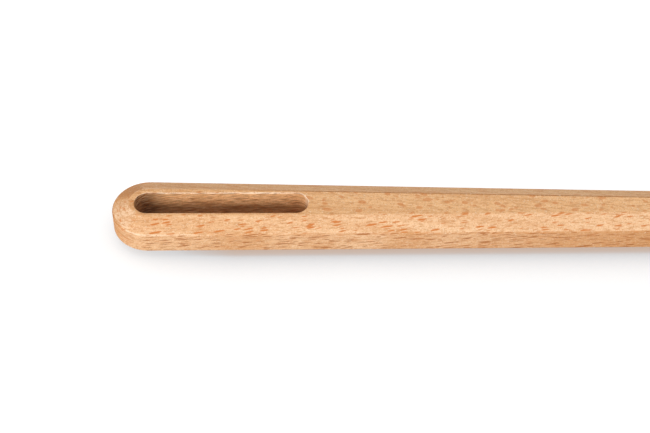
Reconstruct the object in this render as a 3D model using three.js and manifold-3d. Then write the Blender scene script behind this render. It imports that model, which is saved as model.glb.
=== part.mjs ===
// Silicone spatula: a bevelled beech handle with a long hanging slot, and a pull-off head.
// The head is a silicone blade moulded over a nylon core, and the core's socket takes the handle's tongue.
// Millimetres. +X runs from the handle's butt to the blade's tip and +Z is up.
// The origin lies under the middle of the part, on the surface that it rests on.

import * as THREE from "three";
import { mergeVertices } from "three/addons/utils/BufferGeometryUtils.js";
import Module from "manifold-3d";

// Handle: a bar with a bevel along each of its four long edges and round its butt.
const HANDLE_LENGTH = 218; // butt to shoulder
const BUTT_WIDTH = 26;
const NECK_WIDTH = 19.3;
const HANDLE_THICKNESS = 16.3;
const BUTT_ROUND = 13.5; // length of the rounded butt
const FACET_WIDTH = 6.4; // each bevel, seen from above
const FACET_DROP = 3.7; // each bevel, seen from the side

// Hanging slot, cut right through the handle.
const SLOT_INSET = 8.5; // butt to slot
const SLOT_LENGTH = 63.6;
const SLOT_WIDTH = 9.3;
const SLOT_EASE = 0.45; // bevel round each mouth

// Tongue and socket: each wall is set in from the neck's outline.
const TONGUE_LENGTH = 30;
const TONGUE_DRAFT = 1; // how much narrower each side is at the end
const TONGUE_NOSE = 2; // bevel at the end
const SOCKET_CLEARANCE = 0.3; // tongue to socket, and shoulder to collar
const SOCKET_WALL = 1.4;
const SOCKET_FLOOR = 1.6;
const COLLAR_LIP = 2.5; // silicone in front of the socket's mouth

// Head: silicone from the collar to the tip.
const HEAD_LENGTH = 102;
const HEAD_WIDTH = 58;
const COLLAR_LENGTH = 10; // straight part behind the shoulders
const SHOULDER_LENGTH = 36; // from the collar to the full width
const EDGE_THICKNESS = 1.6;
const TIP_THICKNESS = 2.2; // at the middle of the tip
const ROUND_CORNER = 20; // for bowls
const SQUARE_CORNER = 8; // for pans
const COLLAR_WALL = 1.6;
const BOND_GAP = 0.3; // silicone to core

// Core: a stiffening plate that runs from the socket into the blade.
const PLATE_REACH = 76; // collar mouth to the plate's end
const PLATE_THICKNESS = 1.6;
const PLATE_ROOT_WIDTH = 13;
const PLATE_WIDTH = 24;
const PLATE_CORNER = 5;
const KEY_HOLE_DIAMETER = 7; // silicone runs through these holes and keys to the plate
const KEY_HOLE_COUNT = 2;

// Fineness of the mesh, and how far a cutter stands past what it cuts.
const ARC_STEPS = 20;
const SHOULDER_STEPS = 12;
const BLADE_STEPS = 6;
const CORNER_STEPS = 10;
const OVERCUT = 4;

const OVERALL_LENGTH = HANDLE_LENGTH + SOCKET_CLEARANCE + HEAD_LENGTH;
const MID_HEIGHT = HANDLE_THICKNESS / 2;

const wasm = await Module();
wasm.setup();

// A closed geometry as a solid that can be joined and cut.
function solid(geometry) {
  const bare = geometry.clone();
  bare.deleteAttribute("normal");
  bare.deleteAttribute("uv");
  const merged = mergeVertices(bare);
  return new wasm.Manifold(
    new wasm.Mesh({
      numProp: 3,
      vertProperties: new Float32Array(merged.attributes.position.array),
      triVerts: new Uint32Array(merged.index.array),
    }),
  );
}

// A solid as one named mesh of the scene.
function part(name, made, material) {
  const { vertProperties, triVerts } = made.getMesh();
  const geometry = new THREE.BufferGeometry();
  geometry.setAttribute("position", new THREE.BufferAttribute(vertProperties, 3));
  geometry.setIndex(new THREE.BufferAttribute(triVerts, 1));
  geometry.computeVertexNormals();
  const mesh = new THREE.Mesh(geometry, material);
  mesh.name = name;
  return mesh;
}

// A closed solid skinned over rings of points that stand square to X, in order along X.
function loft(rings) {
  const count = rings[0].length;
  const index = [];
  for (let r = 0; r + 1 < rings.length; r++) {
    for (let i = 0; i < count; i++) {
      const a = r * count + i;
      const b = r * count + ((i + 1) % count);
      index.push(a, b, b + count, a, b + count, a + count);
    }
  }
  const last = (rings.length - 1) * count;
  for (let i = 1; i + 1 < count; i++) {
    index.push(0, i + 1, i, last, last + i, last + i + 1);
  }
  const geometry = new THREE.BufferGeometry().setFromPoints(rings.flat());
  geometry.setIndex(index);
  return solid(geometry);
}

// The eight points of a bevelled section at x. left and right are its reach to -Y and +Y.
function ring(x, section) {
  const { left, right, height, side, flat } = section;
  const corners = [
    [right, -side],
    [right, side],
    [flat, height],
    [-flat, height],
    [-left, side],
    [-left, -side],
    [-flat, -height],
    [flat, -height],
  ];
  return corners.map(([y, z]) => new THREE.Vector3(x, y, z));
}

// The handle's section at the neck, set in on every side by a wall.
function neckSection(wall) {
  const half = NECK_WIDTH / 2 - wall;
  const height = HANDLE_THICKNESS / 2 - wall;
  const share = half / (NECK_WIDTH / 2);
  return {
    left: half,
    right: half,
    height,
    side: height - FACET_DROP * share,
    flat: half - FACET_WIDTH * share,
  };
}

// A plan outline extruded upwards from z. A bevel takes its edges off inside the outline.
function plate(shape, z, depth, bevel = { width: 0, drop: 0 }) {
  const geometry = new THREE.ExtrudeGeometry(shape, {
    depth: depth - 2 * bevel.drop,
    curveSegments: ARC_STEPS,
    bevelEnabled: bevel.drop > 0,
    bevelThickness: bevel.drop,
    bevelSize: bevel.width,
    bevelOffset: -bevel.width,
    bevelSegments: 1,
  });
  geometry.translate(0, 0, z + bevel.drop);
  return solid(geometry);
}

// A slot with round ends that runs along X, with its sides moved out by grow.
function slotShape(grow) {
  const radius = SLOT_WIDTH / 2 + grow;
  const near = SLOT_INSET + SLOT_WIDTH / 2;
  const far = SLOT_INSET + SLOT_LENGTH - SLOT_WIDTH / 2;
  const shape = new THREE.Shape();
  shape.absarc(near, 0, radius, Math.PI / 2, (3 * Math.PI) / 2, false);
  shape.absarc(far, 0, radius, -Math.PI / 2, Math.PI / 2, false);
  return shape;
}

// The slot's cutter: a straight slot with an eased mouth above and below.
function slotCutter() {
  const straight = plate(slotShape(0), -MID_HEIGHT - OVERCUT, HANDLE_THICKNESS + 2 * OVERCUT);
  const ease = { width: SLOT_EASE, drop: SLOT_EASE };
  const depth = OVERCUT + SLOT_EASE;
  const upper = plate(slotShape(SLOT_EASE), MID_HEIGHT - SLOT_EASE, 2 * depth, ease);
  const lower = plate(slotShape(SLOT_EASE), SLOT_EASE - MID_HEIGHT - 2 * depth, 2 * depth, ease);
  return straight.add(upper).add(lower);
}

// A block square to X, from x over length, that is wider and taller than the neck.
function block(x, length) {
  const geometry = new THREE.BoxGeometry(length, BUTT_WIDTH + NECK_WIDTH, 2 * HANDLE_THICKNESS);
  geometry.translate(x + length / 2, 0, 0);
  return solid(geometry);
}

// The tongue, which starts inside the handle.
// Moved out by wall and made longer by reach, it is the socket's bore or the outside of its sleeve.
function tongue(wall, reach) {
  const root = COLLAR_WALL + BOND_GAP + SOCKET_WALL + SOCKET_CLEARANCE - wall;
  const end = HANDLE_LENGTH + TONGUE_LENGTH + reach;
  return loft([
    ring(HANDLE_LENGTH - OVERCUT, neckSection(root)),
    ring(HANDLE_LENGTH, neckSection(root)),
    ring(end - TONGUE_NOSE, neckSection(root + TONGUE_DRAFT)),
    ring(end, neckSection(root + TONGUE_DRAFT + TONGUE_NOSE / 2)),
  ]);
}

// Handle: the plan outline with its long bevels, cut square at the shoulder and slotted, then the tongue.
function handle() {
  const wide = BUTT_WIDTH / 2;
  const past = HANDLE_LENGTH + FACET_WIDTH + OVERCUT;
  const slope = (NECK_WIDTH - BUTT_WIDTH) / 2 / (HANDLE_LENGTH - BUTT_ROUND);
  const narrow = wide + slope * (past - BUTT_ROUND);
  const outline = new THREE.Shape();
  outline.absellipse(BUTT_ROUND, 0, BUTT_ROUND, wide, Math.PI / 2, (3 * Math.PI) / 2, false, 0);
  outline.lineTo(past, -narrow);
  outline.lineTo(past, narrow);
  outline.closePath();
  const bar = plate(outline, -MID_HEIGHT, HANDLE_THICKNESS, { width: FACET_WIDTH, drop: FACET_DROP });
  return bar.subtract(block(HANDLE_LENGTH, past)).subtract(slotCutter()).add(tongue(0, 0));
}

// The stiffening plate's outline: a paddle that widens from the socket and has round corners.
function paddleShape(grow) {
  const start = HANDLE_LENGTH + TONGUE_LENGTH + SOCKET_CLEARANCE + SOCKET_FLOOR / 2 - grow;
  const end = HANDLE_LENGTH + SOCKET_CLEARANCE + PLATE_REACH + grow;
  const root = PLATE_ROOT_WIDTH / 2 + grow;
  const half = PLATE_WIDTH / 2 + grow;
  const corner = PLATE_CORNER + grow;
  const middle = (start + end) / 2;
  const shape = new THREE.Shape();
  shape.moveTo(start, -root);
  shape.bezierCurveTo((start + middle) / 2, -root, (start + middle) / 2, -half, middle, -half);
  shape.absarc(end - corner, corner - half, corner, -Math.PI / 2, 0, false);
  shape.absarc(end - corner, half - corner, corner, 0, Math.PI / 2, false);
  shape.lineTo(middle, half);
  shape.bezierCurveTo((start + middle) / 2, half, (start + middle) / 2, root, start, root);
  shape.closePath();
  return shape;
}

// The holes that key the silicone to the plate, in a row along its middle.
function keyHoles(grow) {
  const start = HANDLE_LENGTH + TONGUE_LENGTH + SOCKET_CLEARANCE + SOCKET_FLOOR;
  const end = HANDLE_LENGTH + SOCKET_CLEARANCE + PLATE_REACH;
  const pitch = (end - start) / (KEY_HOLE_COUNT + 1);
  const holes = [];
  for (let i = 1; i <= KEY_HOLE_COUNT; i++) {
    const hole = new THREE.Path();
    hole.absarc(start + i * pitch, 0, KEY_HOLE_DIAMETER / 2 - grow, 0, 2 * Math.PI, true);
    holes.push(hole);
  }
  return holes;
}

// Core: the socket's sleeve and the stiffening plate in one moulding.
// grow swells it on every side, for the cavity that it lies in.
function core(grow) {
  const mouth = HANDLE_LENGTH + SOCKET_CLEARANCE + COLLAR_LIP - grow;
  const outside = tongue(SOCKET_CLEARANCE + SOCKET_WALL + grow, SOCKET_CLEARANCE + SOCKET_FLOOR + grow);
  const bore = tongue(SOCKET_CLEARANCE - grow, SOCKET_CLEARANCE - grow);
  const sleeve = outside.subtract(bore).subtract(block(0, mouth));
  const paddle = paddleShape(grow);
  paddle.holes = keyHoles(grow);
  const thickness = PLATE_THICKNESS + 2 * grow;
  return sleeve.add(plate(paddle, -thickness / 2, thickness));
}

// Eases from 0 at the start of a span to 1 at its end.
const ease = (x, start, length) => THREE.MathUtils.smoothstep(x, start, start + length);

// The head's reach to one side, d past the collar's mouth: neck, shoulder, full width and tip corner.
function reach(d, corner) {
  const full = HEAD_WIDTH / 2;
  const flared = THREE.MathUtils.lerp(NECK_WIDTH / 2, full, ease(d, COLLAR_LENGTH, SHOULDER_LENGTH));
  const into = Math.max(0, d - (HEAD_LENGTH - corner));
  const lost = corner - Math.sqrt(Math.max(0, corner * corner - into * into));
  return flared - lost;
}

// The head's section, d past the collar's mouth. The neck's bevels spread into the blade's two faces.
function headSection(d) {
  const neck = neckSection(0);
  const flare = ease(d, COLLAR_LENGTH, SHOULDER_LENGTH);
  const thinning = ease(d, COLLAR_LENGTH, HEAD_LENGTH - COLLAR_LENGTH);
  return {
    left: reach(d, ROUND_CORNER),
    right: reach(d, SQUARE_CORNER),
    height: THREE.MathUtils.lerp(neck.height, TIP_THICKNESS / 2, thinning),
    side: THREE.MathUtils.lerp(neck.side, EDGE_THICKNESS / 2, flare),
    flat: neck.flat,
  };
}

// Where the head's sections stand: even steps over shoulders and blade, closer ones round each corner.
function headStations() {
  const full = COLLAR_LENGTH + SHOULDER_LENGTH;
  const stations = [0];
  for (let i = 0; i <= SHOULDER_STEPS; i++) {
    stations.push(COLLAR_LENGTH + (SHOULDER_LENGTH * i) / SHOULDER_STEPS);
  }
  for (let i = 1; i <= BLADE_STEPS; i++) {
    stations.push(full + ((HEAD_LENGTH - full) * i) / BLADE_STEPS);
  }
  for (const corner of [ROUND_CORNER, SQUARE_CORNER]) {
    for (let i = 0; i < CORNER_STEPS; i++) {
      stations.push(HEAD_LENGTH - corner + corner * Math.sin((Math.PI / 2) * (i / CORNER_STEPS)));
    }
  }
  return [...new Set(stations)].sort((a, b) => a - b);
}

// Blade: the silicone head, hollow where the core and the tongue lie, open at the collar's mouth.
function blade() {
  const mouth = HANDLE_LENGTH + SOCKET_CLEARANCE;
  const outside = loft(headStations().map((d) => ring(mouth + d, headSection(d))));
  const passage = tongue(SOCKET_CLEARANCE, SOCKET_CLEARANCE);
  return outside.subtract(core(BOND_GAP)).subtract(passage);
}

const beech = new THREE.MeshStandardMaterial({ color: 0xdfae7c, roughness: 0.55, metalness: 0 });
const silicone = new THREE.MeshStandardMaterial({ color: 0x6f7a80, roughness: 0.5, metalness: 0 });
const nylon = new THREE.MeshStandardMaterial({ color: 0xd8d4c8, roughness: 0.6, metalness: 0 });

const spatula = new THREE.Group();
spatula.add(part("handle", handle(), beech));

const head = new THREE.Group();
head.add(part("head_core", core(0), nylon));
head.add(part("silicone_blade", blade(), silicone));
spatula.add(head);

spatula.position.set(-OVERALL_LENGTH / 2, 0, MID_HEIGHT);

const assembly = new THREE.Group();
assembly.add(spatula);

export default assembly;
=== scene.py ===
"""Silicone spatula: a beech handle with a hanging slot and a pull-off silicone head, on a pale table."""

import logging
import math
from dataclasses import dataclass
from enum import Enum
from typing import Any

import bmesh
import bpy
from bmesh.types import BMEdge, BMesh, BMFace, BMVert
from bpy.types import Material, Node, NodeSocket, NodeTree, Object
from mathutils import Matrix, Vector


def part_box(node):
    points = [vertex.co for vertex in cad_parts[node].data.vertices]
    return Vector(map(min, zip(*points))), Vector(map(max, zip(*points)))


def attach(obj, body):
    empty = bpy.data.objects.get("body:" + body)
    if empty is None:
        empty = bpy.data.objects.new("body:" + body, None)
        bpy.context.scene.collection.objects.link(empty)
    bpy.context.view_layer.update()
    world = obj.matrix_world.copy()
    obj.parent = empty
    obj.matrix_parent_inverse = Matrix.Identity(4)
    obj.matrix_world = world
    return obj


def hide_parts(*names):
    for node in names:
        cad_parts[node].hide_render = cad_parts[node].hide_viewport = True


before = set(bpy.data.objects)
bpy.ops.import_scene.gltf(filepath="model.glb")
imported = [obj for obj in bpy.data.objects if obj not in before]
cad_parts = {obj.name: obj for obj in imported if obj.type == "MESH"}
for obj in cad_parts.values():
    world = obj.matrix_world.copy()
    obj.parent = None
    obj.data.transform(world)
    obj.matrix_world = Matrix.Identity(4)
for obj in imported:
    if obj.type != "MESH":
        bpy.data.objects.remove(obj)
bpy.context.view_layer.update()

LOG = logging.getLogger("spatula")
MM = 0.001
# Millimetres within which two places are the same.
TOUCH = 0.01
# How much of a face's normal lies along an axis where the face is square to it.
SQUARE = 0.99
# How much broad facets outweigh the strips between them.
FACET_WEIGHT = 80
# Radial size, in millimetres, of a mark that runs right through the wood.
THROUGH = 1000.0

Colour = tuple[float, float, float, float]
Triple = tuple[float, float, float]
Stops = tuple[tuple[float, float], ...]
Inputs = dict[int | str, Any]
Outputs = bpy.types.bpy_prop_collection


class Body(str, Enum):
    """The rigid bodies of the frame that pieces ride on."""

    HANDLE = "handle"
    HEAD = "head"


class Slot(str, Enum):
    """The record's material slots."""

    BEECH = "beech"
    SILICONE = "silicone"


def linear(hex_colour: str) -> Colour:
    """Turns an sRGB hex value into a linear colour.

    Args:
        hex_colour: A value such as "#efc596".

    Returns:
        Linear red, green and blue, and an alpha of 1.
    """
    shares = [int(hex_colour[i : i + 2], 16) / 255 for i in (1, 3, 5)]
    red, green, blue = (s / 12.92 if s <= 0.04045 else ((s + 0.055) / 1.055) ** 2.4 for s in shares)
    return red, green, blue, 1.0


def fill(tree: NodeTree, node: Node, inputs: Inputs) -> None:
    """Sets a node's inputs.

    Args:
        tree: The node tree that holds the node.
        node: The node.
        inputs: Values for its sockets, or sockets of other nodes to link from.
    """
    for key, value in inputs.items():
        if isinstance(value, NodeSocket):
            tree.links.new(value, node.inputs[key])
        else:
            node.inputs[key].default_value = value


def add_node(tree: NodeTree, kind: str, inputs: Inputs | None = None, **settings: str | int) -> Outputs:
    """Adds one node with its settings and inputs.

    Args:
        tree: The node tree that takes the node.
        kind: The node's type name, without ShaderNode.
        inputs: Values for its sockets, or sockets of other nodes to link from.
        settings: Properties of the node.

    Returns:
        The new node's outputs.
    """
    node = tree.nodes.new("ShaderNode" + kind)
    for name, value in settings.items():
        setattr(node, name, value)
    fill(tree, node, inputs or {})
    return node.outputs


def blots(tree: NodeTree, space: NodeSocket, size: Triple, detail: float) -> Outputs:
    """Scatters soft blots of a size along each axis of a space."""
    scaled = add_node(tree, "VectorMath", {0: space, 1: size}, operation="DIVIDE")[0]
    return add_node(tree, "TexNoise", {"Vector": scaled, "Scale": 1.0, "Detail": detail})


def new_material(name: str) -> tuple[Material, NodeTree, Node]:
    """Makes a material whose Principled shader is all that it holds.

    Args:
        name: The material's name.

    Returns:
        The material, its node tree and the shader.
    """
    material = bpy.data.materials.new(name)
    material.use_nodes = True
    tree = material.node_tree
    return material, tree, tree.nodes["Principled BSDF"]


def new_object(name: str, bm: BMesh, material: Material) -> Object:
    """Makes a smooth-shaded object whose broad facets stay flat in the light.

    Args:
        name: The piece's name.
        bm: The mesh, in millimetres of the part's own frame, which is freed.
        material: The piece's finish.

    Returns:
        The object, at the origin, with its place in its mesh.
    """
    bmesh.ops.scale(bm, vec=(MM, MM, MM), verts=bm.verts)
    bmesh.ops.recalc_face_normals(bm, faces=bm.faces)
    for face in bm.faces:
        face.smooth = True
    mesh = bpy.data.meshes.new(name)
    bm.to_mesh(mesh)
    bm.free()
    mesh.materials.append(material)
    piece = bpy.data.objects.new(name, mesh)
    bpy.context.scene.collection.objects.link(piece)
    weighted = piece.modifiers.new("flat_facets", "WEIGHTED_NORMAL")
    weighted.mode = "FACE_AREA"
    weighted.weight = FACET_WEIGHT
    return piece


def round_off(
    bm: BMesh,
    geom: list[BMEdge] | list[BMVert],
    radius: float,
    steps: int,
    affect: str = "EDGES",
    clamp: bool = True,
) -> list[BMFace]:
    """Rounds edges or corners of a mesh.

    Args:
        bm: The mesh.
        geom: The edges or corners.
        radius: How far a round reaches on each side, in millimetres.
        steps: How many strips make a round.
        affect: EDGES or VERTICES.
        clamp: Whether rounds that meet are held apart.

    Returns:
        The faces of the rounds.
    """
    arc = {"offset": radius, "offset_type": "OFFSET", "segments": steps, "profile": 0.5, "material": -1}
    return bmesh.ops.bevel(bm, geom=geom, affect=affect, clamp_overlap=clamp, **arc)["faces"]


@dataclass(frozen=True)
class Ramp:
    """Two values of a measure: where something starts to come in, and where it is full."""

    starts: float
    full: float

    def placed(self, origin: float) -> "Ramp":
        """Turns a ramp in millimetres from an origin into places in the part's frame."""
        return Ramp(origin + self.starts * MM, origin + self.full * MM)

    def inputs(self, measure: NodeSocket, low: float | NodeSocket, high: float | NodeSocket) -> Inputs:
        """Gives the inputs of a node that maps a measure from this ramp to two values."""
        return {0: measure, 1: self.starts, 2: self.full, 3: low, 4: high}


@dataclass(frozen=True)
class Tint:
    """A colour that comes in over a ramp of something measured on a surface."""

    measure: NodeSocket
    ramp: Ramp
    share: float | NodeSocket
    colour: str


@dataclass(frozen=True)
class Figure:
    """One layer of a wood's figure.

    The size of one mark is in millimetres along the fibres, radially and along the rings. The ramp says
    what of the layer's pattern shows.
    """

    size: Triple
    shows: Ramp
    strength: float
    colour: str


@dataclass(frozen=True)
class RayFigure(Figure):
    """One way in which rays show: clear where they are cut so, with the least share of it elsewhere."""

    clear: Ramp
    least: float


@dataclass(frozen=True)
class Wander:
    """A noise that bends the grain: its size and its reach, in millimetres, in a figure's directions."""

    size: Triple
    reach: Triple


@dataclass(frozen=True)
class Reading:
    """What a wood reads at a point: its place, and how squarely the surface cuts fibres and rays."""

    tree: NodeTree
    butt: float
    where: NodeSocket
    x: NodeSocket
    normal: NodeSocket
    grain: NodeSocket
    fibres: NodeSocket
    rays: NodeSocket


@dataclass(frozen=True)
class OiledBeech:
    """Steamed beech, planed, sanded and oiled: a warm pale tan with a soft satin surface.

    Rays are thin ribbons that run out from the pith. Cut end on they are short brown lines, cut aslant
    they are orange-brown spindles, and cut along their length they are broader, fainter blotches. End
    grain drinks more oil than the rest and shows fine arcs. The end that it hangs by is a little browner,
    and hands darken the sides towards the neck. The arrises carry a painted highlight at the butt and a
    painted dark line of shade further on. The butt's near corner carries a painted highlight, and its far
    corner painted shade.
    """

    name: str = "oiled_beech"
    ground: str = "#f7cb9f"
    flat_cut: str = "#f8c590"
    end_grain_and_lit_end: str = "#f6b26a"
    hung_end: str = "#e9b27c"
    painted_far_shade: str = "#c48248"
    # Painted shade for the butt's far corner.
    handled: str = "#d3945a"
    # Painted highlight on the butt's near corner and the arrises' crests, and painted shade along the
    # arrises.
    painted_highlight: str = "#ffe6c8"
    painted_edge_shade: str = "#b06d33"
    # How the wood lies in the handle, in degrees.
    ray_lean: float = 15.0
    grain_tilt: float = 1.0
    fibre_slope: float = 5.6
    fibre_turn: float = 5.3
    # How squarely the wood is cut where each look comes in.
    along_rays: Ramp = Ramp(0.7, 0.3)
    across_rays: Ramp = Ramp(0.75, 0.95)
    across_fibres: Ramp = Ramp(0.6, 0.95)
    arcs_show: Ramp = Ramp(0.2, 0.7)
    # The way that the butt's upper corners face, and how nearly a surface faces that way: painted light.
    near_corner: Triple = (-0.45, -0.2, 0.87)
    near_turn: Ramp = Ramp(0.94, 0.98)
    near_share: float = 0.5
    far_corner: Triple = (-0.4, 0.4, 0.825)
    far_turn: Ramp = Ramp(0.94, 0.99)
    far_share: float = 0.85
    # Stretches of the handle, in millimetres from its butt.
    hung_stretch: Ramp = Ramp(90.0, 50.0)
    hung_share: float = 0.3
    hung_flat_share: float = 0.5
    handled_stretch: Ramp = Ramp(90.0, 215.0)
    handled_share: float = 0.8
    rings_fade: Ramp = Ramp(110.0, 195.0)
    rings_left: float = 0.1
    # Growth rings, the finer figure along the fibres, and the arcs of the end grain.
    rings: Figure = Figure((130.0, 2.2, 45.0), Ramp(0.36, 0.72), 0.55, "#d99c64")
    layers: Figure = Figure((14.0, 0.7, 0.42), Ramp(0.48, 0.72), 0.55, "#c88a52")
    fibre: Figure = Figure((4.0, 0.5, 0.42), Ramp(0.5, 0.78), 0.4, "#bd7f4a")
    gleam: Figure = Figure((0.7, 0.5, 0.42), Ramp(0.5, 0.75), 0.5, "#fae1c0")
    pores: Figure = Figure((0.45, 0.4, 0.4), Ramp(0.5, 0.74), 0.6, "#c47d45")
    arcs: Figure = Figure((20.0, 20.0, 0.4), Ramp(0.46, 0.66), 0.8, "#c98a52")
    figure_detail: float = 1.5
    # Rays. The size is that of a cell, which holds one ribbon at most.
    dashes: RayFigure = RayFigure((2.4, 1.4, 0.4), Ramp(0.0, 0.15), 0.5, "#cb7f47", Ramp(0.0, 0.8), 0.5)
    spindles: RayFigure = RayFigure((5.6, 2.2, 0.46), Ramp(0.0, 0.13), 0.9, "#d27a38", Ramp(0.0, 0.7), 0.3)
    lines: RayFigure = RayFigure((6, THROUGH, 0.6), Ramp(0.04, 0.16), 0.85, "#aa6028", Ramp(0.75, 0.95), 0)
    spindles_lost: float = 0.9
    ribbon_draw: Ramp = Ramp(0.05, 1.0)
    widest_ribbon: float = 0.52
    # Bends of the grain.
    bend: Wander = Wander((70.0, 22.0, 22.0), (0.0, 2.4, 1.6))
    scatter: Wander = Wander((16.0, 4.0, 1.3), (10.0, 0.0, 0.0))
    fray: Wander = Wander((2.0, 1.2, 0.9), (0.7, 0.4, 0.12))
    stagger: Wander = Wander((8.0, 4.0, 0.9), (9.0, 0.0, 0.3))
    bend_detail: float = 1.0
    # The oiled surface.
    roughness: float = 0.5
    ior: float = 1.47
    specular: float = 0.12

    def material(self) -> Material:
        """Builds the beech.

        Returns:
            A solid procedural wood, so that the grain runs on from face to face.
        """
        # To the eye: pale tan wood with fine brown flecks that all run one way, and hardly any shine.
        material, tree, shader = new_material(self.name)
        at = self._read(tree)
        colour = linear(self.ground)
        for tint in self._stains_and_painted_light(at) + self._fibres(at) + self._rays(at):
            laid = tint.ramp.inputs(tint.measure, 0.0, tint.share)
            share = add_node(tree, "MapRange", laid, interpolation_type="SMOOTHSTEP")[0]
            mixed = {0: share, 6: colour, 7: linear(tint.colour)}
            colour = add_node(tree, "Mix", mixed, data_type="RGBA")[2]
        gloss = {"Roughness": self.roughness, "IOR": self.ior, "Specular IOR Level": self.specular}
        fill(tree, shader, {"Base Color": colour, **gloss})
        return material

    def _read(self, tree: NodeTree) -> Reading:
        """Reads a point's place in the handle and in its grain, and how the surface cuts the wood.

        Args:
            tree: The material's node tree.

        Returns:
            What the rest of the material goes by. The grain is in millimetres, and bends slowly.
        """
        place = add_node(tree, "TexCoord")
        where, normal = place["Object"], place["Normal"]
        turns = [math.radians(turn) for turn in (self.grain_tilt, self.fibre_slope, self.fibre_turn)]
        laid = {"Vector": where, "Rotation": turns, "Scale": (1 / MM, 1 / MM, 1 / MM)}
        lean = math.radians(self.ray_lean)
        x = add_node(tree, "SeparateXYZ", {0: where})["X"]
        grain = self._wander(tree, add_node(tree, "Mapping", laid)[0], self.bend)
        fibres = self._facing(tree, normal, (1.0, 0.0, 0.0))
        rays = self._facing(tree, normal, (0.0, -math.cos(lean), math.sin(lean)))
        return Reading(tree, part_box("handle")[0].x, where, x, normal, grain, fibres, rays)

    def _stains_and_painted_light(self, at: Reading) -> list[Tint]:
        """Lists what changes the wood's colour under its figure, painted highlights and shade among them.

        Args:
            at: What the wood reads at a point.

        Returns:
            The tints, first laid first.
        """
        handled = add_node(at.tree, "MapRange", self.across_rays.inputs(at.rays, 0.0, self.handled_share))[0]
        flats = self.along_rays.inputs(at.rays, self.hung_share, self.hung_flat_share)
        hung = add_node(at.tree, "MapRange", flats)[0]
        near = self._facing(at.tree, at.normal, self.near_corner)
        far = self._facing(at.tree, at.normal, self.far_corner)
        arris = add_node(at.tree, "Attribute", attribute_name="arris")["Fac"]
        return [
            Tint(at.rays, self.along_rays, 1.0, self.flat_cut),
            Tint(at.x, self.hung_stretch.placed(at.butt), hung, self.hung_end),
            # Painted highlight on the butt's near corner.
            Tint(near, self.near_turn, self.near_share, self.painted_highlight),
            Tint(at.fibres, self.across_fibres, 1.0, self.end_grain_and_lit_end),
            # Painted shade on the butt's far corner, which faces away from the lamp.
            Tint(far, self.far_turn, self.far_share, self.painted_far_shade),
            Tint(at.x, self.handled_stretch.placed(at.butt), handled, self.handled),
            # Painted light on the arrises' crests: a painted highlight where the mark is above 0, painted
            # shade below.
            Tint(arris, Ramp(0.0, 1.0), 1.0, self.painted_highlight),
            Tint(arris, Ramp(0.0, -1.0), 1.0, self.painted_edge_shade),
        ]

    def _fibres(self, at: Reading) -> list[Tint]:
        """Draws the rings, which fade towards the neck, the finer figure, and the end grain's level arcs.

        Args:
            at: What the wood reads at a point.

        Returns:
            The tints, first laid first.
        """
        fade = self.rings_fade.placed(at.butt).inputs(at.x, self.rings.strength, self.rings_left)
        figures = [(self.rings, at.grain, add_node(at.tree, "MapRange", fade)[0])]
        figures += [(f, at.grain, f.strength) for f in (self.layers, self.fibre, self.gleam, self.pores)]
        laid = {"Vector": at.where, "Scale": (1 / MM, 1 / MM, 1 / MM)}
        level = add_node(at.tree, "Mapping", laid)[0]
        ends = self.arcs_show.inputs(at.fibres, 0.0, self.arcs.strength)
        figures.append((self.arcs, level, add_node(at.tree, "MapRange", ends)[0]))
        tints = []
        for figure, space, strength in figures:
            pattern = blots(at.tree, space, figure.size, self.figure_detail)["Fac"]
            tints.append(Tint(pattern, figure.shows, strength, figure.colour))
        return tints

    def _rays(self, at: Reading) -> list[Tint]:
        """Draws the rays as dashes, as spindles where they are cut aslant, and as lines where cut end on.

        Args:
            at: What the wood reads at a point.

        Returns:
            The tints, first laid first.
        """
        end_on = add_node(at.tree, "Math", {0: at.rays, 1: at.fibres}, operation="MAXIMUM")[0]
        lost = add_node(at.tree, "MapRange", self.across_rays.inputs(at.rays, 0.0, self.spindles_lost))[0]
        aslant = add_node(at.tree, "Math", {0: at.rays, 1: lost}, operation="SUBTRACT")[0]
        scattered = self._wander(at.tree, at.grain, self.scatter)
        frayed = self._wander(at.tree, scattered, self.fray)
        staggered = self._wander(at.tree, scattered, self.stagger)
        tints = []
        for rays, space, cut in (
            (self.dashes, frayed, at.rays),
            (self.spindles, frayed, aslant),
            (self.lines, staggered, end_on),
        ):
            clear = rays.clear.inputs(cut, rays.least * rays.strength, rays.strength)
            strength = add_node(at.tree, "MapRange", clear)[0]
            tints.append(Tint(self._ribbons(at.tree, space, rays), rays.shows, strength, rays.colour))
        return tints

    @staticmethod
    def _facing(tree: NodeTree, normal: NodeSocket, direction: Triple) -> NodeSocket:
        """Gives 1 where a surface is cut square to a unit vector, and 0 where it runs along it."""
        along = add_node(tree, "VectorMath", {0: normal, 1: direction}, operation="DOT_PRODUCT")["Value"]
        return add_node(tree, "Math", {0: along}, operation="ABSOLUTE")[0]

    def _wander(self, tree: NodeTree, space: NodeSocket, wander: Wander) -> NodeSocket:
        """Bends a space, which is in millimetres, with a noise."""
        bent = {0: blots(tree, space, wander.size, self.bend_detail)["Color"], 1: wander.reach, 2: space}
        return add_node(tree, "VectorMath", bent, operation="MULTIPLY_ADD")[0]

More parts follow.
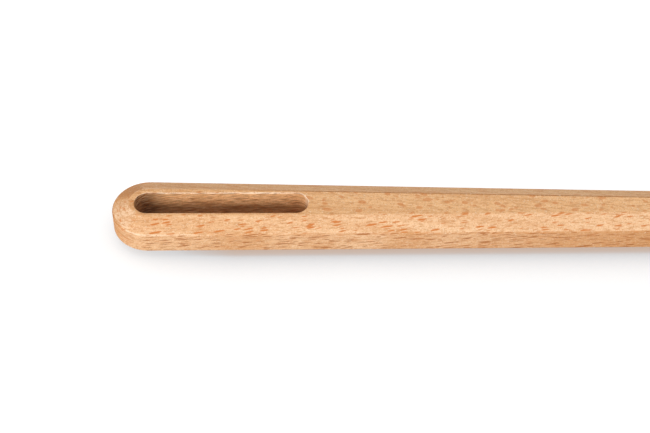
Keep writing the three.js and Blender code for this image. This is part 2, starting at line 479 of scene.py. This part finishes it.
    def _ribbons(self, tree: NodeTree, space: NodeSocket, rays: RayFigure) -> NodeSocket:
        """Scatters lens-shaped ribbons of many sizes, at most one in each cell.

        Args:
            tree: The material's node tree.
            space: The space that they lie in, in millimetres.
            rays: The rays' figure.

        Returns:
            How far inside a ribbon a point is.
        """
        scaled = add_node(tree, "VectorMath", {0: space, 1: rays.size}, operation="DIVIDE")[0]
        dimensions = "3D"
        if rays.size[1] == THROUGH:
            axes = add_node(tree, "SeparateXYZ", {0: scaled})
            scaled = add_node(tree, "CombineXYZ", {0: axes["X"], 1: axes["Z"]})[0]
            dimensions = "2D"
        laid = {"Vector": scaled, "Scale": 1.0}
        cells = add_node(tree, "TexVoronoi", laid, voronoi_dimensions=dimensions)
        draw = add_node(tree, "SeparateColor", {0: cells["Color"]})[0]
        reach = add_node(tree, "MapRange", self.ribbon_draw.inputs(draw, 0.0, self.widest_ribbon))[0]
        return add_node(tree, "Math", {0: reach, 1: cells["Distance"]}, operation="SUBTRACT")[0]


@dataclass(frozen=True)
class RoutedBeech(OiledBeech):
    """The slot's walls: streaky beech with painted shade, darkest deep in and at the slot's butt end.

    The painted shade's heights are in millimetres from a mouth, and the slot's stretches are from the butt.
    """

    name: str = "routed_beech"
    ground: str = "#ffca92"
    # Paler than the handle's end grain: end grain with painted light on the slot's end walls.
    end_grain_and_lit_end: str = "#ffdeb8"
    # Painted shade in the slot: deepest half-way down, darkest at the butt end, lighter at the head end.
    painted_slot_shade: str = "#4c2a10"
    painted_slot_shade_heights: Ramp = Ramp(-4.2, -10.5)
    painted_slot_shade_share: float = 0.92
    butt_end_shade: Ramp = Ramp(21.5, 10.5)
    butt_end_shade_share: float = 0.95
    front_end: Ramp = Ramp(56.0, 72.0)
    front_painted_slot_shade_share: float = 0.4
    layers: Figure = Figure((6.0, 9.0, 0.55), Ramp(0.46, 0.72), 0.3, "#8d5529")
    fibre: Figure = Figure((4.0, 4.0, 0.4), Ramp(0.47, 0.66), 0.6, "#84502a")
    gleam: Figure = Figure((4.0, 4.0, 0.36), Ramp(0.5, 0.68), 0.55, "#f8d0a4")
    spindles: RayFigure = RayFigure((5.0, 6.0, 0.5), Ramp(0.0, 0.16), 0.3, "#a5612f", Ramp(0.0, 0.7), 0.3)
    lines: RayFigure = RayFigure((4, THROUGH, 0.6), Ramp(0.0, 0.12), 0.45, "#8d5529", Ramp(0.75, 0.95), 0)

    def _stains_and_painted_light(self, at: Reading) -> list[Tint]:
        """Lists what changes the wood's colour under its figure, with the slot's painted shade laid last.

        Args:
            at: What the wood reads at a point.

        Returns:
            The tints, first laid first.
        """
        low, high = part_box("handle")
        middle, half = (low.z + high.z) / 2, (high.z - low.z) / 2
        z = add_node(at.tree, "SeparateXYZ", {0: at.where})["Z"]
        offset = add_node(at.tree, "Math", {0: z, 1: middle}, operation="SUBTRACT")[0]
        height = add_node(at.tree, "Math", {0: offset}, operation="ABSOLUTE")[0]
        paler = self.front_end.placed(at.butt).inputs(at.x, self.painted_slot_shade_share, self.front_painted_slot_shade_share)
        share = add_node(at.tree, "MapRange", paler)[0]
        return [
            *super()._stains_and_painted_light(at),
            # Painted shade, deepest half-way down the slot and lighter at its head end.
            Tint(height, self.painted_slot_shade_heights.placed(half), share, self.painted_slot_shade),
            # Painted shade at the slot's butt end, whose wall faces away from the lamp.
            Tint(at.x, self.butt_end_shade.placed(at.butt), self.butt_end_shade_share, self.painted_slot_shade),
        ]


@dataclass(frozen=True)
class MouldedSilicone:
    """Food-grade silicone rubber from a fine-blasted mould. Sizes are in millimetres."""

    colour: str = "#6f7a80"
    cloud: str = "#7a858a"
    cloud_size: float = 9.0
    cloud_detail: float = 3.0
    cloud_span: Ramp = Ramp(0.3, 0.7)
    least_roughness: float = 0.42
    most_roughness: float = 0.54
    grit: float = 0.35
    grit_detail: float = 2.0
    grit_depth: float = 0.1
    grit_strength: float = 0.15
    ior: float = 1.41
    haze: float = 0.1
    haze_depth: float = 1.5

    def material(self) -> Material:
        """Builds the silicone.

        Returns:
            A matt rubber with a fine moulded grain.
        """
        # To the eye: a cool grey with a soft satin, never glossy, and a little cloudy in its depth.
        material, tree, shader = new_material("moulded_silicone")
        where = add_node(tree, "TexCoord")["Object"]
        cloud = blots(tree, where, (self.cloud_size * MM,) * 3, self.cloud_detail)["Fac"]
        grain = blots(tree, where, (self.grit * MM,) * 3, self.grit_detail)["Fac"]
        mixed = {0: cloud, 6: linear(self.colour), 7: linear(self.cloud)}
        satin = self.cloud_span.inputs(cloud, self.least_roughness, self.most_roughness)
        relief = {"Strength": self.grit_strength, "Distance": self.grit_depth * MM, "Height": grain}
        surface = {
            "Base Color": add_node(tree, "Mix", mixed, data_type="RGBA")[2],
            "Roughness": add_node(tree, "MapRange", satin)[0],
            "Normal": add_node(tree, "Bump", relief)[0],
            "IOR": self.ior,
            "Subsurface Weight": self.haze,
            "Subsurface Radius": (1.0, 1.0, 1.0),
            "Subsurface Scale": self.haze_depth * MM,
        }
        fill(tree, shader, surface)
        return material


@dataclass(frozen=True)
class MouldedNylon:
    """Glass-filled nylon as it leaves the mould. Sizes are in millimetres."""

    colour: str = "#d8d4c8"
    streak: str = "#c6c0b0"
    streak_length: float = 3.0
    streak_width: float = 0.4
    streak_detail: float = 2.0
    streak_span: Ramp = Ramp(0.45, 0.75)
    streak_depth: float = 0.05
    streak_strength: float = 0.1
    roughness: float = 0.55
    ior: float = 1.53

    def material(self) -> Material:
        """Builds the nylon.

        Returns:
            A matt plastic, streaked along its flow.
        """
        # To the eye: off-white and matt, faintly streaked where the glass fibres lie along the flow.
        material, tree, shader = new_material("moulded_nylon")
        where = add_node(tree, "TexCoord")["Object"]
        size = (self.streak_length * MM, self.streak_width * MM, self.streak_width * MM)
        fibres = blots(tree, where, size, self.streak_detail)["Fac"]
        share = add_node(tree, "MapRange", self.streak_span.inputs(fibres, 0.0, 1.0))[0]
        mixed = {0: share, 6: linear(self.colour), 7: linear(self.streak)}
        relief = {"Strength": self.streak_strength, "Distance": self.streak_depth * MM, "Height": fibres}
        surface = {
            "Base Color": add_node(tree, "Mix", mixed, data_type="RGBA")[2],
            "Normal": add_node(tree, "Bump", relief)[0],
            "Roughness": self.roughness,
            "IOR": self.ior,
        }
        fill(tree, shader, surface)
        return material


@dataclass
class Handle:
    """The beech handle: a bevelled, tapering bar with a round butt, a hanging slot and a tongue.

    Sizes are in millimetres and turns in degrees. Painted light on the arrises is set by stops: distances
    from the butt, each from -1 for a painted dark line of shade to 1 for a painted highlight.
    """

    finish: OiledBeech
    routed_finish: RoutedBeech
    butt: float
    length: float = 218.0
    overlength: float = 2.0
    butt_width: float = 26.0
    neck_width: float = 19.3
    thickness: float = 16.3
    butt_round: float = 13.5
    facet_width: float = 6.4
    facet_drop: float = 3.7
    side_turn: float = 45.0
    side_arris: float = 0.6
    # Painted light on the side arrises' crests, from -1 painted shade to 1 painted highlight.
    side_painted_light: Stops = ((0.0, -0.8), (3.0, -0.6), (6.0, 0.6))
    side_painted_light_past_slot: float = -0.35
    flat_turn: float = 20.0
    flat_arris: float = 0.35
    # Painted light on the far flat arrises' crests, likewise.
    far_painted_light: Stops = ((0.0, -0.3), (12.0, 0.5), (40.0, 0.4))
    far_painted_light_past_slot: float = -0.9
    arris_steps: int = 4
    slot_inset: float = 8.5
    slot_length: float = 63.6
    slot_width: float = 9.3
    slot_skew: float = 0.55
    slot_ease: float = 0.5
    # Painted highlight along the slot's far rim, stronger towards the head.
    rim_painted_light: Stops = ((0.0, 0.2), (20.0, 0.9))
    rim_painted_light_past_slot: float = 1.0
    tongue_inset: float = 3.6
    tongue_length: float = 30.0
    tongue_draft: float = 1.0
    nose_length: float = 2.0
    nose_draft: float = 1.0
    arc_steps: int = 40
    ease_steps: int = 5

    def build(self) -> Object:
        """Models the handle.

        Returns:
            The handle, riding on its body in place of its plain solid.
        """
        bm = bmesh.new()
        self._bar(bm)
        self._cut_across(bm)
        self._soften(bm)
        self._slot(bm)
        self._tongue(bm)
        bmesh.ops.translate(bm, vec=(self.butt, 0, 0), verts=bm.verts)
        piece = new_object("beech_handle", bm, self.finish.material())
        piece.data.materials.append(self.routed_finish.material())
        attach(piece, Body.HANDLE.value)
        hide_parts("handle")
        return piece

    def _bar(self, bm: BMesh) -> None:
        """Makes the bevelled bar, longer than the handle, with its butt at x = 0.

        Args:
            bm: The empty mesh.
        """
        wide = self.butt_width / 2
        past = self.length + self.facet_width + self.overlength
        slope = (self.neck_width / 2 - wide) / (self.length - self.butt_round)
        narrow = wide + slope * (past - self.butt_round)
        low = self.facet_drop
        near = bm.verts.new((self.butt_round, -wide, low))
        centre = (self.butt_round, 0, low)
        spun = bmesh.ops.spin(
            bm, geom=[near], cent=centre, axis=(0, 0, 1), angle=-math.pi, steps=self.arc_steps
        )["geom_last"]
        far = next(v for v in spun if isinstance(v, BMVert))
        stretch = (self.butt_round / wide, 1, 1)
        about = Matrix.Translation((-self.butt_round, 0, 0))
        bmesh.ops.scale(bm, vec=stretch, space=about, verts=bm.verts)
        ends = bmesh.ops.extrude_vert_indiv(bm, verts=[near, far])["verts"]
        for end in ends:
            end.co = (past, math.copysign(narrow, end.co.y), low)
        bm.edges.new(ends)
        base = bmesh.ops.contextual_create(bm, geom=bm.edges)["faces"][0]
        raised = bmesh.ops.extrude_face_region(bm, geom=[base], use_keep_orig=True)["geom"]
        upper = [v for v in raised if isinstance(v, BMVert)]
        bmesh.ops.translate(bm, vec=(0, 0, self.thickness - 2 * self.facet_drop), verts=upper)
        bmesh.ops.recalc_face_normals(bm, faces=bm.faces)
        for face in [f for f in bm.faces if abs(f.normal.z) > SQUARE]:
            bmesh.ops.inset_region(
                bm, faces=[face], thickness=self.facet_width, depth=self.facet_drop, use_even_offset=True
            )

    @property
    def _past_slot(self) -> float:
        """Where the bar is split, just past the slot."""
        return self.slot_inset + self.slot_length + self.slot_width / 2

    def _cut_across(self, bm: BMesh) -> None:
        """Cuts the bar square where the head's collar meets it, and splits it just past the slot.

        Args:
            bm: The bar.
        """
        for place, ends in ((self.length, True), (self._past_slot, False)):
            whole = [*bm.verts, *bm.edges, *bm.faces]
            cut = bmesh.ops.bisect_plane(
                bm, geom=whole, plane_co=(place, 0, 0), plane_no=(1, 0, 0), clear_outer=ends
            )["geom_cut"]
            if ends:
                bmesh.ops.contextual_create(bm, geom=[e for e in cut if isinstance(e, BMEdge)])

    def _soften(self, bm: BMesh) -> None:
        """Rounds the arrises between the facets as sanding leaves them, and marks their painted light.

        Args:
            bm: The bar, cut at its shoulder.
        """
        sides = round_off(bm, self._ridges(bm, self.side_turn), self.side_arris, self.arris_steps)
        # Marks painted highlights and painted shade on the crests of the side and far arrises.
        self._mark(bm, sides, (*self.side_painted_light, (self._past_slot, self.side_painted_light_past_slot)))
        flats = round_off(bm, self._ridges(bm, self.flat_turn), self.flat_arris, self.arris_steps)
        far = [f for f in flats if f.calc_center_median().y > 0]
        self._mark(bm, far, (*self.far_painted_light, (self._past_slot, self.far_painted_light_past_slot)))

    def _ridges(self, bm: BMesh, least_turn: float) -> list[BMEdge]:
        """Finds the edges behind the shoulder where the surface turns by more than an angle.

        Args:
            bm: The bar.
            least_turn: The angle, in degrees.

        Returns:
            The edges.
        """
        bmesh.ops.recalc_face_normals(bm, faces=bm.faces)
        bm.normal_update()
        sharp = [e for e in bm.edges if e.calc_face_angle(0) > math.radians(least_turn)]
        return [e for e in sharp if min(v.co.x for v in e.verts) < self.length - TOUCH]

    @staticmethod
    def _mark(bm: BMesh, strips: list[BMFace], stops: Stops) -> None:
        """Marks the crest of a rounded arris with painted light: above 0 a highlight, below 0 shade.

        Args:
            bm: The mesh.
            strips: The faces of the round.
            stops: Distances from the butt, each with its mark.
        """
        layer = bm.verts.layers.float.get("arris") or bm.verts.layers.float.new("arris")
        inside = set(strips)
        for vert in {v for f in strips for v in f.verts}:
            if inside.issuperset(f for f in vert.link_faces if f.normal.x < SQUARE):
                vert[layer] = stops[-1][1]
                for (start, before), (end, after) in zip(stops, stops[1:]):
                    if vert.co.x < end:
                        vert[layer] = before + (after - before) * (vert.co.x - start) / (end - start)
                        break

    def _slot(self, bm: BMesh) -> None:
        """Cuts the hanging slot through the two broad flats and rounds its mouths.

        The butt end of each flat gets as many corners as the slot. An outline is joined to its flat from
        mid-height, where it is clear which way round it runs.

        Args:
            bm: The softened bar.
        """
        mouths = []
        middle = self.thickness / 2
        for height in (0.0, self.thickness):
            level = [f for f in bm.faces if abs(f.calc_center_median().z - height) < TOUCH]
            behind = [f for f in level if f.calc_center_median().x < self._past_slot]
            butt_end = max(behind, key=lambda f: f.calc_area())
            across = max(butt_end.edges, key=lambda e: min(v.co.x for v in e.verts))
            bmesh.ops.subdivide_edges(bm, edges=[across], cuts=self.arc_steps - 1)
            rim = list(butt_end.edges)
            bmesh.ops.delete(bm, geom=[butt_end], context="FACES_ONLY")
            mouth = self._slot_outline(bm, middle)
            bmesh.ops.bridge_loops(bm, edges=rim + mouth)
            corners = list({v for e in mouth for v in e.verts})
            bmesh.ops.translate(bm, vec=(0, 0, height - middle), verts=corners)
            mouths += mouth
        for wall in bmesh.ops.bridge_loops(bm, edges=mouths)["faces"]:
            wall.material_index = 1
        bmesh.ops.recalc_face_normals(bm, faces=bm.faces)
        eased = round_off(bm, mouths, self.slot_ease, self.ease_steps, clamp=False)
        far = [f for f in eased if f.calc_center_median().y > 0]
        # Painted highlight along the far half of the slot's rounded rims.
        self._mark(bm, far, (*self.rim_painted_light, (self._past_slot, self.rim_painted_light_past_slot)))

    def _slot_outline(self, bm: BMesh, height: float) -> list[BMEdge]:
        """Draws the slot's outline: a circle whose front half is moved along the handle.

        The slot is routed by hand, so its butt end lies a touch nearer the front.

        Args:
            bm: The mesh that takes the outline.
            height: Where the outline lies.

        Returns:
            The outline's edges.
        """
        radius = self.slot_width / 2
        corners = 2 * self.arc_steps + 2
        circle = bmesh.ops.create_circle(bm, cap_ends=False, segments=corners, radius=radius)["verts"]
        half_step = Matrix.Rotation(math.pi / corners, 3, "Z")
        bmesh.ops.rotate(bm, verts=circle, cent=(0, 0, 0), matrix=half_step)
        front = [v for v in circle if v.co.x > 0]
        bmesh.ops.translate(bm, vec=(self.slot_length - self.slot_width, 0, 0), verts=front)
        bmesh.ops.translate(bm, vec=(self.slot_inset + radius, 0, height), verts=circle)
        head_end = (self.slot_inset + self.slot_length - radius, 0, 0)
        skew = Matrix.Rotation(math.radians(self.slot_skew), 3, "Z")
        bmesh.ops.rotate(bm, verts=circle, cent=head_end, matrix=skew)
        return list({e for v in circle for e in v.link_edges})

    def _tongue(self, bm: BMesh) -> None:
        """Draws the tongue out of the shoulder, tapering to a blunt nose.

        Args:
            bm: The slotted bar.
        """
        bm.normal_update()
        square = [f for f in bm.faces if f.normal.x > SQUARE]
        face = max(square, key=lambda f: f.calc_center_median().x)
        about = Matrix.Translation((-self.length, 0, -self.thickness / 2))
        half = Vector((1, self.neck_width / 2, self.thickness / 2))
        drafted = self.tongue_inset + self.tongue_draft
        for inset, advance in (
            (self.tongue_inset, 0.0),
            (drafted, self.tongue_length - self.nose_length),
            (drafted + self.nose_draft, self.nose_length),
        ):
            before = half
            half = Vector((1, self.neck_width / 2 - inset, self.thickness / 2 - inset))
            face = bmesh.ops.extrude_discrete_faces(bm, faces=[face])["faces"][0]
            scale = (1, half.y / before.y, half.z / before.z)
            bmesh.ops.scale(bm, vec=scale, space=about, verts=face.verts)
            bmesh.ops.translate(bm, vec=(advance, 0, 0), verts=face.verts)


@dataclass(frozen=True)
class Section:
    """An eight-cornered section square to the handle, in millimetres from its middle."""

    left: float
    right: float
    height: float
    side: float
    flat: float
    ridge_round: float
    edge_round: float

    def corners(self) -> list[tuple[float, float]]:
        """Gives the corners, anticlockwise as seen from the tip: two at an edge, two ridges, and so on."""
        return [
            (self.right, -self.side),
            (self.right, self.side),
            (self.flat, self.height),
            (-self.flat, self.height),
            (-self.left, self.side),
            (-self.left, -self.side),
            (-self.flat, -self.height),
            (self.flat, -self.height),
        ]


Stations = list[tuple[float, Section]]


@dataclass
class Head:
    """The pull-off head: a silicone blade moulded over a nylon core.

    Sizes are in millimetres. Places, and the sections at them, are so far past the collar's mouth.
    """

    blade_finish: MouldedSilicone
    core_finish: MouldedNylon
    mouth: float
    mid_height: float
    length: float = 102.0
    width: float = 58.0
    neck_width: float = 19.3
    neck_thickness: float = 16.3
    facet_width: float = 6.4
    facet_drop: float = 3.7
    collar_length: float = 10.0
    shoulder_length: float = 36.0
    edge_thickness: float = 1.6
    tip_thickness: float = 2.2
    round_corner: float = 20.0
    square_corner: float = 8.0
    collar_round: float = 1.5
    rim_round: float = 0.7
    lip_round: float = 0.4
    most_edge_round: float = 0.9
    passage_wall: float = 3.3
    sleeve_wall: float = 1.7
    sleeve_start: float = 2.2
    sleeve_end: float = 31.9
    sleeve_draft: float = 0.9
    sleeve_nose: float = 2.0
    plate_end: float = 76.4
    plate_root: float = 7.1
    plate_half: float = 12.6
    plate_thickness: float = 2.2
    plate_corner: float = 5.3
    plate_edge: float = 1.0
    step: float = 0.1
    mouth_step: float = 0.01
    body_steps: int = 60
    plate_steps: int = 16
    corner_steps: int = 14
    round_steps: int = 4

    def build(self) -> list[Object]:
        """Models the blade and dresses the core.

        Returns:
            The two pieces.
        """
        bm = bmesh.new()
        stations = self._plate_pocket() + self._sleeve_pocket() + self._lip() + self._outside()
        rings = [self._ring(bm, d, section) for d, section in stations]
        for before, after in zip(rings, rings[1:]):
            bmesh.ops.bridge_loops(bm, edges=before + after)
        for end in (rings[0], rings[-1]):
            bmesh.ops.contextual_create(bm, geom=end)
        blade = new_object("silicone_head", bm, self.blade_finish.material())
        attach(blade, Body.HEAD.value)
        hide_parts("silicone_blade")
        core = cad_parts["head_core"]
        core.data.materials.clear()
        core.data.materials.append(self.core_finish.material())
        return [blade, core]

    @staticmethod
    def _ease(d: float, start: float, length: float) -> float:
        """Eases from 0 to 1 over a span."""
        share = min(1.0, max(0.0, (d - start) / length))
        return share * share * (3 - 2 * share)

    @staticmethod
    def _lost(into: float, radius: float) -> float:
        """Gives how far a round of a radius falls away, so far into it."""
        return radius - math.sqrt(max(0.0, radius**2 - max(0.0, into) ** 2))

    def _neck(self, wall: float) -> Section:
        """Gives the neck's section, set in on every side by a wall.

        Args:
            wall: The wall's thickness.

        Returns:
            The section, with its bevels and rounds in proportion.
        """
        half = self.neck_width / 2 - wall
        height = self.neck_thickness / 2 - wall
        share = half / (self.neck_width / 2)
        side, flat = height - self.facet_drop * share, half - self.facet_width * share
        rounded = self.collar_round * share
        return Section(half, half, height, side, flat, rounded, rounded)

    def _plate_pocket(self) -> Stations:
        """Gives the pocket for the core's plate.

        Returns:
            Its sections, from its blind end back to the sleeve.
        """
        span = self.plate_end - self.sleeve_end
        height = self.plate_thickness / 2
        stations = []
        for i in range(self.plate_steps, -1, -1):
            d = self.sleeve_end + self.step + (span - self.step) * i / self.plate_steps
            widening = (self.plate_half - self.plate_root) * self._ease(d, self.sleeve_end, span / 2)
            corner = self._lost(d - self.plate_end + self.plate_corner, self.plate_corner)
            half = self.plate_root + widening - corner
            side, flat = height - self.step, half - self.plate_edge
            stations.append((d, Section(half, half, height, side, flat, self.step, self.step)))
        return stations

    def _sleeve_pocket(self) -> Stations:
        """Gives the pocket for the core's sleeve.

        Returns:
            Its sections, from its end out to the passage behind the lip.
        """
        drafted = self.sleeve_wall + self.sleeve_draft
        return [
            (self.sleeve_end, self._neck(drafted + self.sleeve_nose / 2)),
            (self.sleeve_end - self.sleeve_nose, self._neck(drafted)),
            (self.sleeve_start, self._neck(self.sleeve_wall)),
            (self.sleeve_start - self.step, self._neck(self.passage_wall)),
        ]

    def _lip(self) -> Stations:
        """Gives the collar's lip.

        Returns:
            Its sections, round the inner rim and then round the outer.
        """
        inner, outer = [], []
        for i in range(self.round_steps + 1):
            turn = math.pi / 2 * i / self.round_steps
            gained = self.lip_round * (1 - math.cos(turn))
            left = self.lip_round * (1 - math.sin(turn))
            inner.append((left, self._neck(self.passage_wall - gained)))
            outer.append((max(gained, self.mouth_step), self._neck(left)))
        return inner + outer[:-1]

    def _outside(self) -> Stations:
        """Gives the outside.

        Returns:
            Its sections, from behind the lip to the tip, closer together round the corners.
        """
        span = self.length - self.lip_round
        places = {self.lip_round + span * i / self.body_steps for i in range(self.body_steps + 1)}
        for corner in (self.round_corner, self.square_corner, self.rim_round):
            for i in range(self.corner_steps):
                turn = math.pi / 2 * i / self.corner_steps
                places.add(self.length - corner * (1 - math.sin(turn)))
        return [(d, self._outer_section(d)) for d in sorted(places)]

    def _outer_section(self, d: float) -> Section:
        """Gives the section of the outside, where the neck's bevels spread into the blade's two faces.

        Args:
            d: Distance past the collar's mouth.

        Returns:
            The section there.
        """
        neck = self._neck(0)
        flare = self._ease(d, self.collar_length, self.shoulder_length)
        thin = self._ease(d, self.collar_length, self.length - self.collar_length)
        rim = self._lost(d - self.length + self.rim_round, self.rim_round)
        reach = neck.left + (self.width / 2 - neck.left) * flare
        side = neck.side + (self.edge_thickness / 2 - neck.side) * flare - rim
        edge_round = self.collar_round + (self.rim_round - self.collar_round) * flare
        return Section(
            left=reach - self._lost(d - self.length + self.round_corner, self.round_corner),
            right=reach - self._lost(d - self.length + self.square_corner, self.square_corner),
            height=neck.height + (self.tip_thickness / 2 - neck.height) * thin - rim,
            side=side,
            flat=neck.flat,
            ridge_round=self.collar_round,
            edge_round=min(edge_round, self.most_edge_round * side),
        )

    def _ring(self, bm: BMesh, d: float, section: Section) -> list[BMEdge]:
        """Draws one section with its corners rounded.

        Args:
            bm: The mesh that takes the ring.
            d: Distance past the collar's mouth.
            section: The section's sizes.

        Returns:
            The ring's edges.
        """
        verts = [bm.verts.new((self.mouth + d, y, self.mid_height + z)) for y, z in section.corners()]
        bm.faces.new(verts)
        ridges = [v for i, v in enumerate(verts) if i % 4 >= 2]
        edges = [v for i, v in enumerate(verts) if i % 4 < 2]
        round_off(bm, ridges, section.ridge_round, self.round_steps, affect="VERTICES")
        round_off(bm, edges, section.edge_round, self.round_steps, affect="VERTICES")
        face = next(iter(bm.faces))
        ring = list(face.edges)
        bmesh.ops.delete(bm, geom=[face], context="FACES_ONLY")
        return ring


@dataclass
class Studio:
    """A white table under a soft dome with one large lamp, and the camera.

    Sizes are in millimetres and turns in degrees. Only the lamp's are in metres.
    """

    butt: float
    collar: float
    # The camera, which aims at a point over the handle's middle line.
    elevation: float = 50.0
    yaw: float = 0.25
    roll: float = 0.11
    distance: float = 665.7
    focal_pixels: float = 1803.0
    image_width: int = 650
    aim_from_butt: float = 78.27
    aim_height: float = 8.5
    # The table, a hair below the part, and its soft shade, which is warm close to the wood.
    floor_size: float = 6000.0
    floor_drop: float = 0.05
    table: str = "#bcbcbc"
    shade: str = "#989ca0"
    warm_shade: str = "#9c8f86"
    shade_reach: float = 62.0
    shade_samples: int = 16
    clear_span: Ramp = Ramp(0.26, 1.0)
    warm_span: Ramp = Ramp(0.3, 0.0)
    # Where light falls on the shade: behind the middle line, as far as the collar, and from the butt on.
    lit_behind: Ramp = Ramp(14.0, 23.0)
    lit_to_collar: Ramp = Ramp(-20.0, 0.0)
    lit_butt: Ramp = Ramp(0.0, 45.0)
    lit_butt_share: float = 0.6
    # How brightly the table shows in front of the handle and behind it.
    table_glow: float = 1.2
    back_glow: float = 1.55
    # The dome, brighter in front, and the lamp.
    dome_front: float = 0.8
    dome_back: float = 0.59
    key_watts: float = 26.5
    key_size: float = 1.4
    key_distance: float = 2.2
    key_towards: Triple = (-0.45, -0.8, 0.42)

    def build(self) -> None:
        """Sets the table, lights and camera."""
        self._floor()
        self._world()
        self._lamp()
        self._camera()
        bpy.context.scene.view_settings.view_transform = "Standard"

    def _floor(self) -> None:
        """Lays the table."""
        bm = bmesh.new()
        bmesh.ops.create_grid(bm, x_segments=1, y_segments=1, size=self.floor_size / 2)
        bmesh.ops.translate(bm, vec=(0, 0, -self.floor_drop), verts=bm.verts)
        new_object("table", bm, self._table_finish())

    def _table_finish(self) -> Material:
        """Builds the table's finish.

        Returns:
            Matt white that keeps the contact shade and shows as plain white elsewhere.
        """
        # To the eye: a plain white sheet with nothing on it but a soft shade along the handle.
        material, tree, shader = new_material("white_table")
        where = add_node(tree, "TexCoord")["Object"]
        axes = add_node(tree, "SeparateXYZ", {0: where})
        collar = self.lit_to_collar.placed(self.collar * MM).inputs(axes["X"], 1.0, 0.0)
        by_handle = add_node(tree, "MapRange", collar)[0]
        back = self.lit_behind.placed(0.0).inputs(axes["Y"], 0.0, by_handle)
        behind = add_node(tree, "MapRange", back)[0]
        butt = self.lit_butt.placed(self.butt * MM).inputs(axes["X"], self.lit_butt_share, 0.0)
        at_butt = add_node(tree, "MapRange", butt)[0]
        lit = add_node(tree, "Math", {0: behind, 1: at_butt}, operation="MAXIMUM")[0]
        colour = self._table_colour(tree, by_handle, lit)
        glows = Ramp(0.0, 1.0).inputs(behind, self.table_glow, self.back_glow)
        shown = {0: self._seen(tree), 1: add_node(tree, "MapRange", glows)[0]}
        surface = {
            "Base Color": colour,
            "Emission Color": colour,
            "Emission Strength": add_node(tree, "Math", shown, operation="MULTIPLY")[0],
            "Roughness": 1.0,
            "Specular IOR Level": 0.0,
        }
        fill(tree, shader, surface)
        return material

    def _table_colour(self, tree: NodeTree, by_handle: NodeSocket, lit: NodeSocket) -> NodeSocket:
        """Shades the table near what lies on it.

        Args:
            tree: The material's node tree.
            by_handle: 1 along the handle, and 0 along the head.
            lit: How much of the shade is lost to light.

        Returns:
            The table's colour.
        """
        near = {"Distance": self.shade_reach * MM}
        openness = add_node(tree, "AmbientOcclusion", near, samples=self.shade_samples)["AO"]
        cleared = self.clear_span.inputs(openness, lit, 1.0)
        clear = add_node(tree, "MapRange", cleared, interpolation_type="SMOOTHSTEP")[0]
        warm = add_node(tree, "MapRange", self.warm_span.inputs(clear, 0.0, by_handle))[0]
        shaded = {0: clear, 6: linear(self.shade), 7: linear(self.table)}
        grey = add_node(tree, "Mix", shaded, data_type="RGBA")[2]
        mixed = {0: warm, 6: grey, 7: linear(self.warm_shade)}
        return add_node(tree, "Mix", mixed, data_type="RGBA")[2]

    @staticmethod
    def _seen(tree: NodeTree) -> NodeSocket:
        """Tells rays that show a surface from rays that only carry its light.

        Args:
            tree: The node tree.

        Returns:
            1 for rays that show it directly, in a reflection or through glass, and otherwise 0.
        """
        path = add_node(tree, "LightPath")
        seen = path["Is Camera Ray"]
        for kind in ("Is Glossy Ray", "Is Transmission Ray"):
            seen = add_node(tree, "Math", {0: seen, 1: path[kind]}, operation="MAXIMUM")[0]
        return seen

    def _world(self) -> None:
        """Lights the scene with a dim white dome that shows as plain white."""
        world = bpy.data.worlds.new("dome")
        bpy.context.scene.world = world
        world.use_nodes = True
        tree = world.node_tree
        towards = add_node(tree, "TexCoord")["Generated"]
        depth = add_node(tree, "SeparateXYZ", {0: towards})["Y"]
        across = Ramp(-1.0, 1.0).inputs(depth, self.dome_front, self.dome_back)
        dome = add_node(tree, "MapRange", across)[0]
        mixed = {0: self._seen(tree), 2: dome, 3: 1.0}
        strength = add_node(tree, "Mix", mixed, data_type="FLOAT")[0]
        fill(tree, tree.nodes["Background"], {"Color": (1, 1, 1, 1), "Strength": strength})

    def _lamp(self) -> None:
        """Hangs a large soft lamp above, to the front and left."""
        data = bpy.data.lights.new("softbox", "AREA")
        data.shape = "DISK"
        data.size = self.key_size
        data.energy = self.key_watts
        lamp = bpy.data.objects.new("softbox", data)
        bpy.context.scene.collection.objects.link(lamp)
        aim = Vector((self.butt + self.aim_from_butt, 0, 0)) * MM
        towards = Vector(self.key_towards).normalized()
        lamp.location = aim + towards * self.key_distance
        lamp.rotation_euler = towards.to_track_quat("Z", "Y").to_euler()

    def _camera(self) -> None:
        """Places the camera where the photograph was taken from."""
        data = bpy.data.cameras.new("camera")
        data.lens = self.focal_pixels * data.sensor_width / self.image_width
        camera = bpy.data.objects.new("camera", data)
        bpy.context.scene.collection.objects.link(camera)
        lift, turn = math.radians(self.elevation), math.radians(self.yaw)
        back = Vector((math.sin(turn) * math.cos(lift), -math.cos(turn) * math.cos(lift), math.sin(lift)))
        aim = Vector((self.butt + self.aim_from_butt, 0, self.aim_height))
        camera.location = (aim + back * self.distance) * MM
        level = back.to_track_quat("Z", "Y").to_matrix()
        camera.rotation_euler = (level @ Matrix.Rotation(math.radians(self.roll), 3, "Z")).to_euler()
        bpy.context.scene.camera = camera


def main() -> None:
    """Builds the studio, the handle and the head."""
    logging.basicConfig(level=logging.INFO, format="%(name)s: %(message)s")
    handle_low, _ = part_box("handle")
    blade_low, blade_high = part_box("silicone_blade")
    butt, collar = handle_low.x / MM, blade_low.x / MM
    Studio(butt, collar).build()
    pieces = [Handle(OiledBeech(), RoutedBeech(), butt).build()]
    mid_height = (blade_low.z + blade_high.z) / 2 / MM
    pieces += Head(MouldedSilicone(), MouldedNylon(), collar, mid_height).build()


if __name__ == "__main__":
    main()
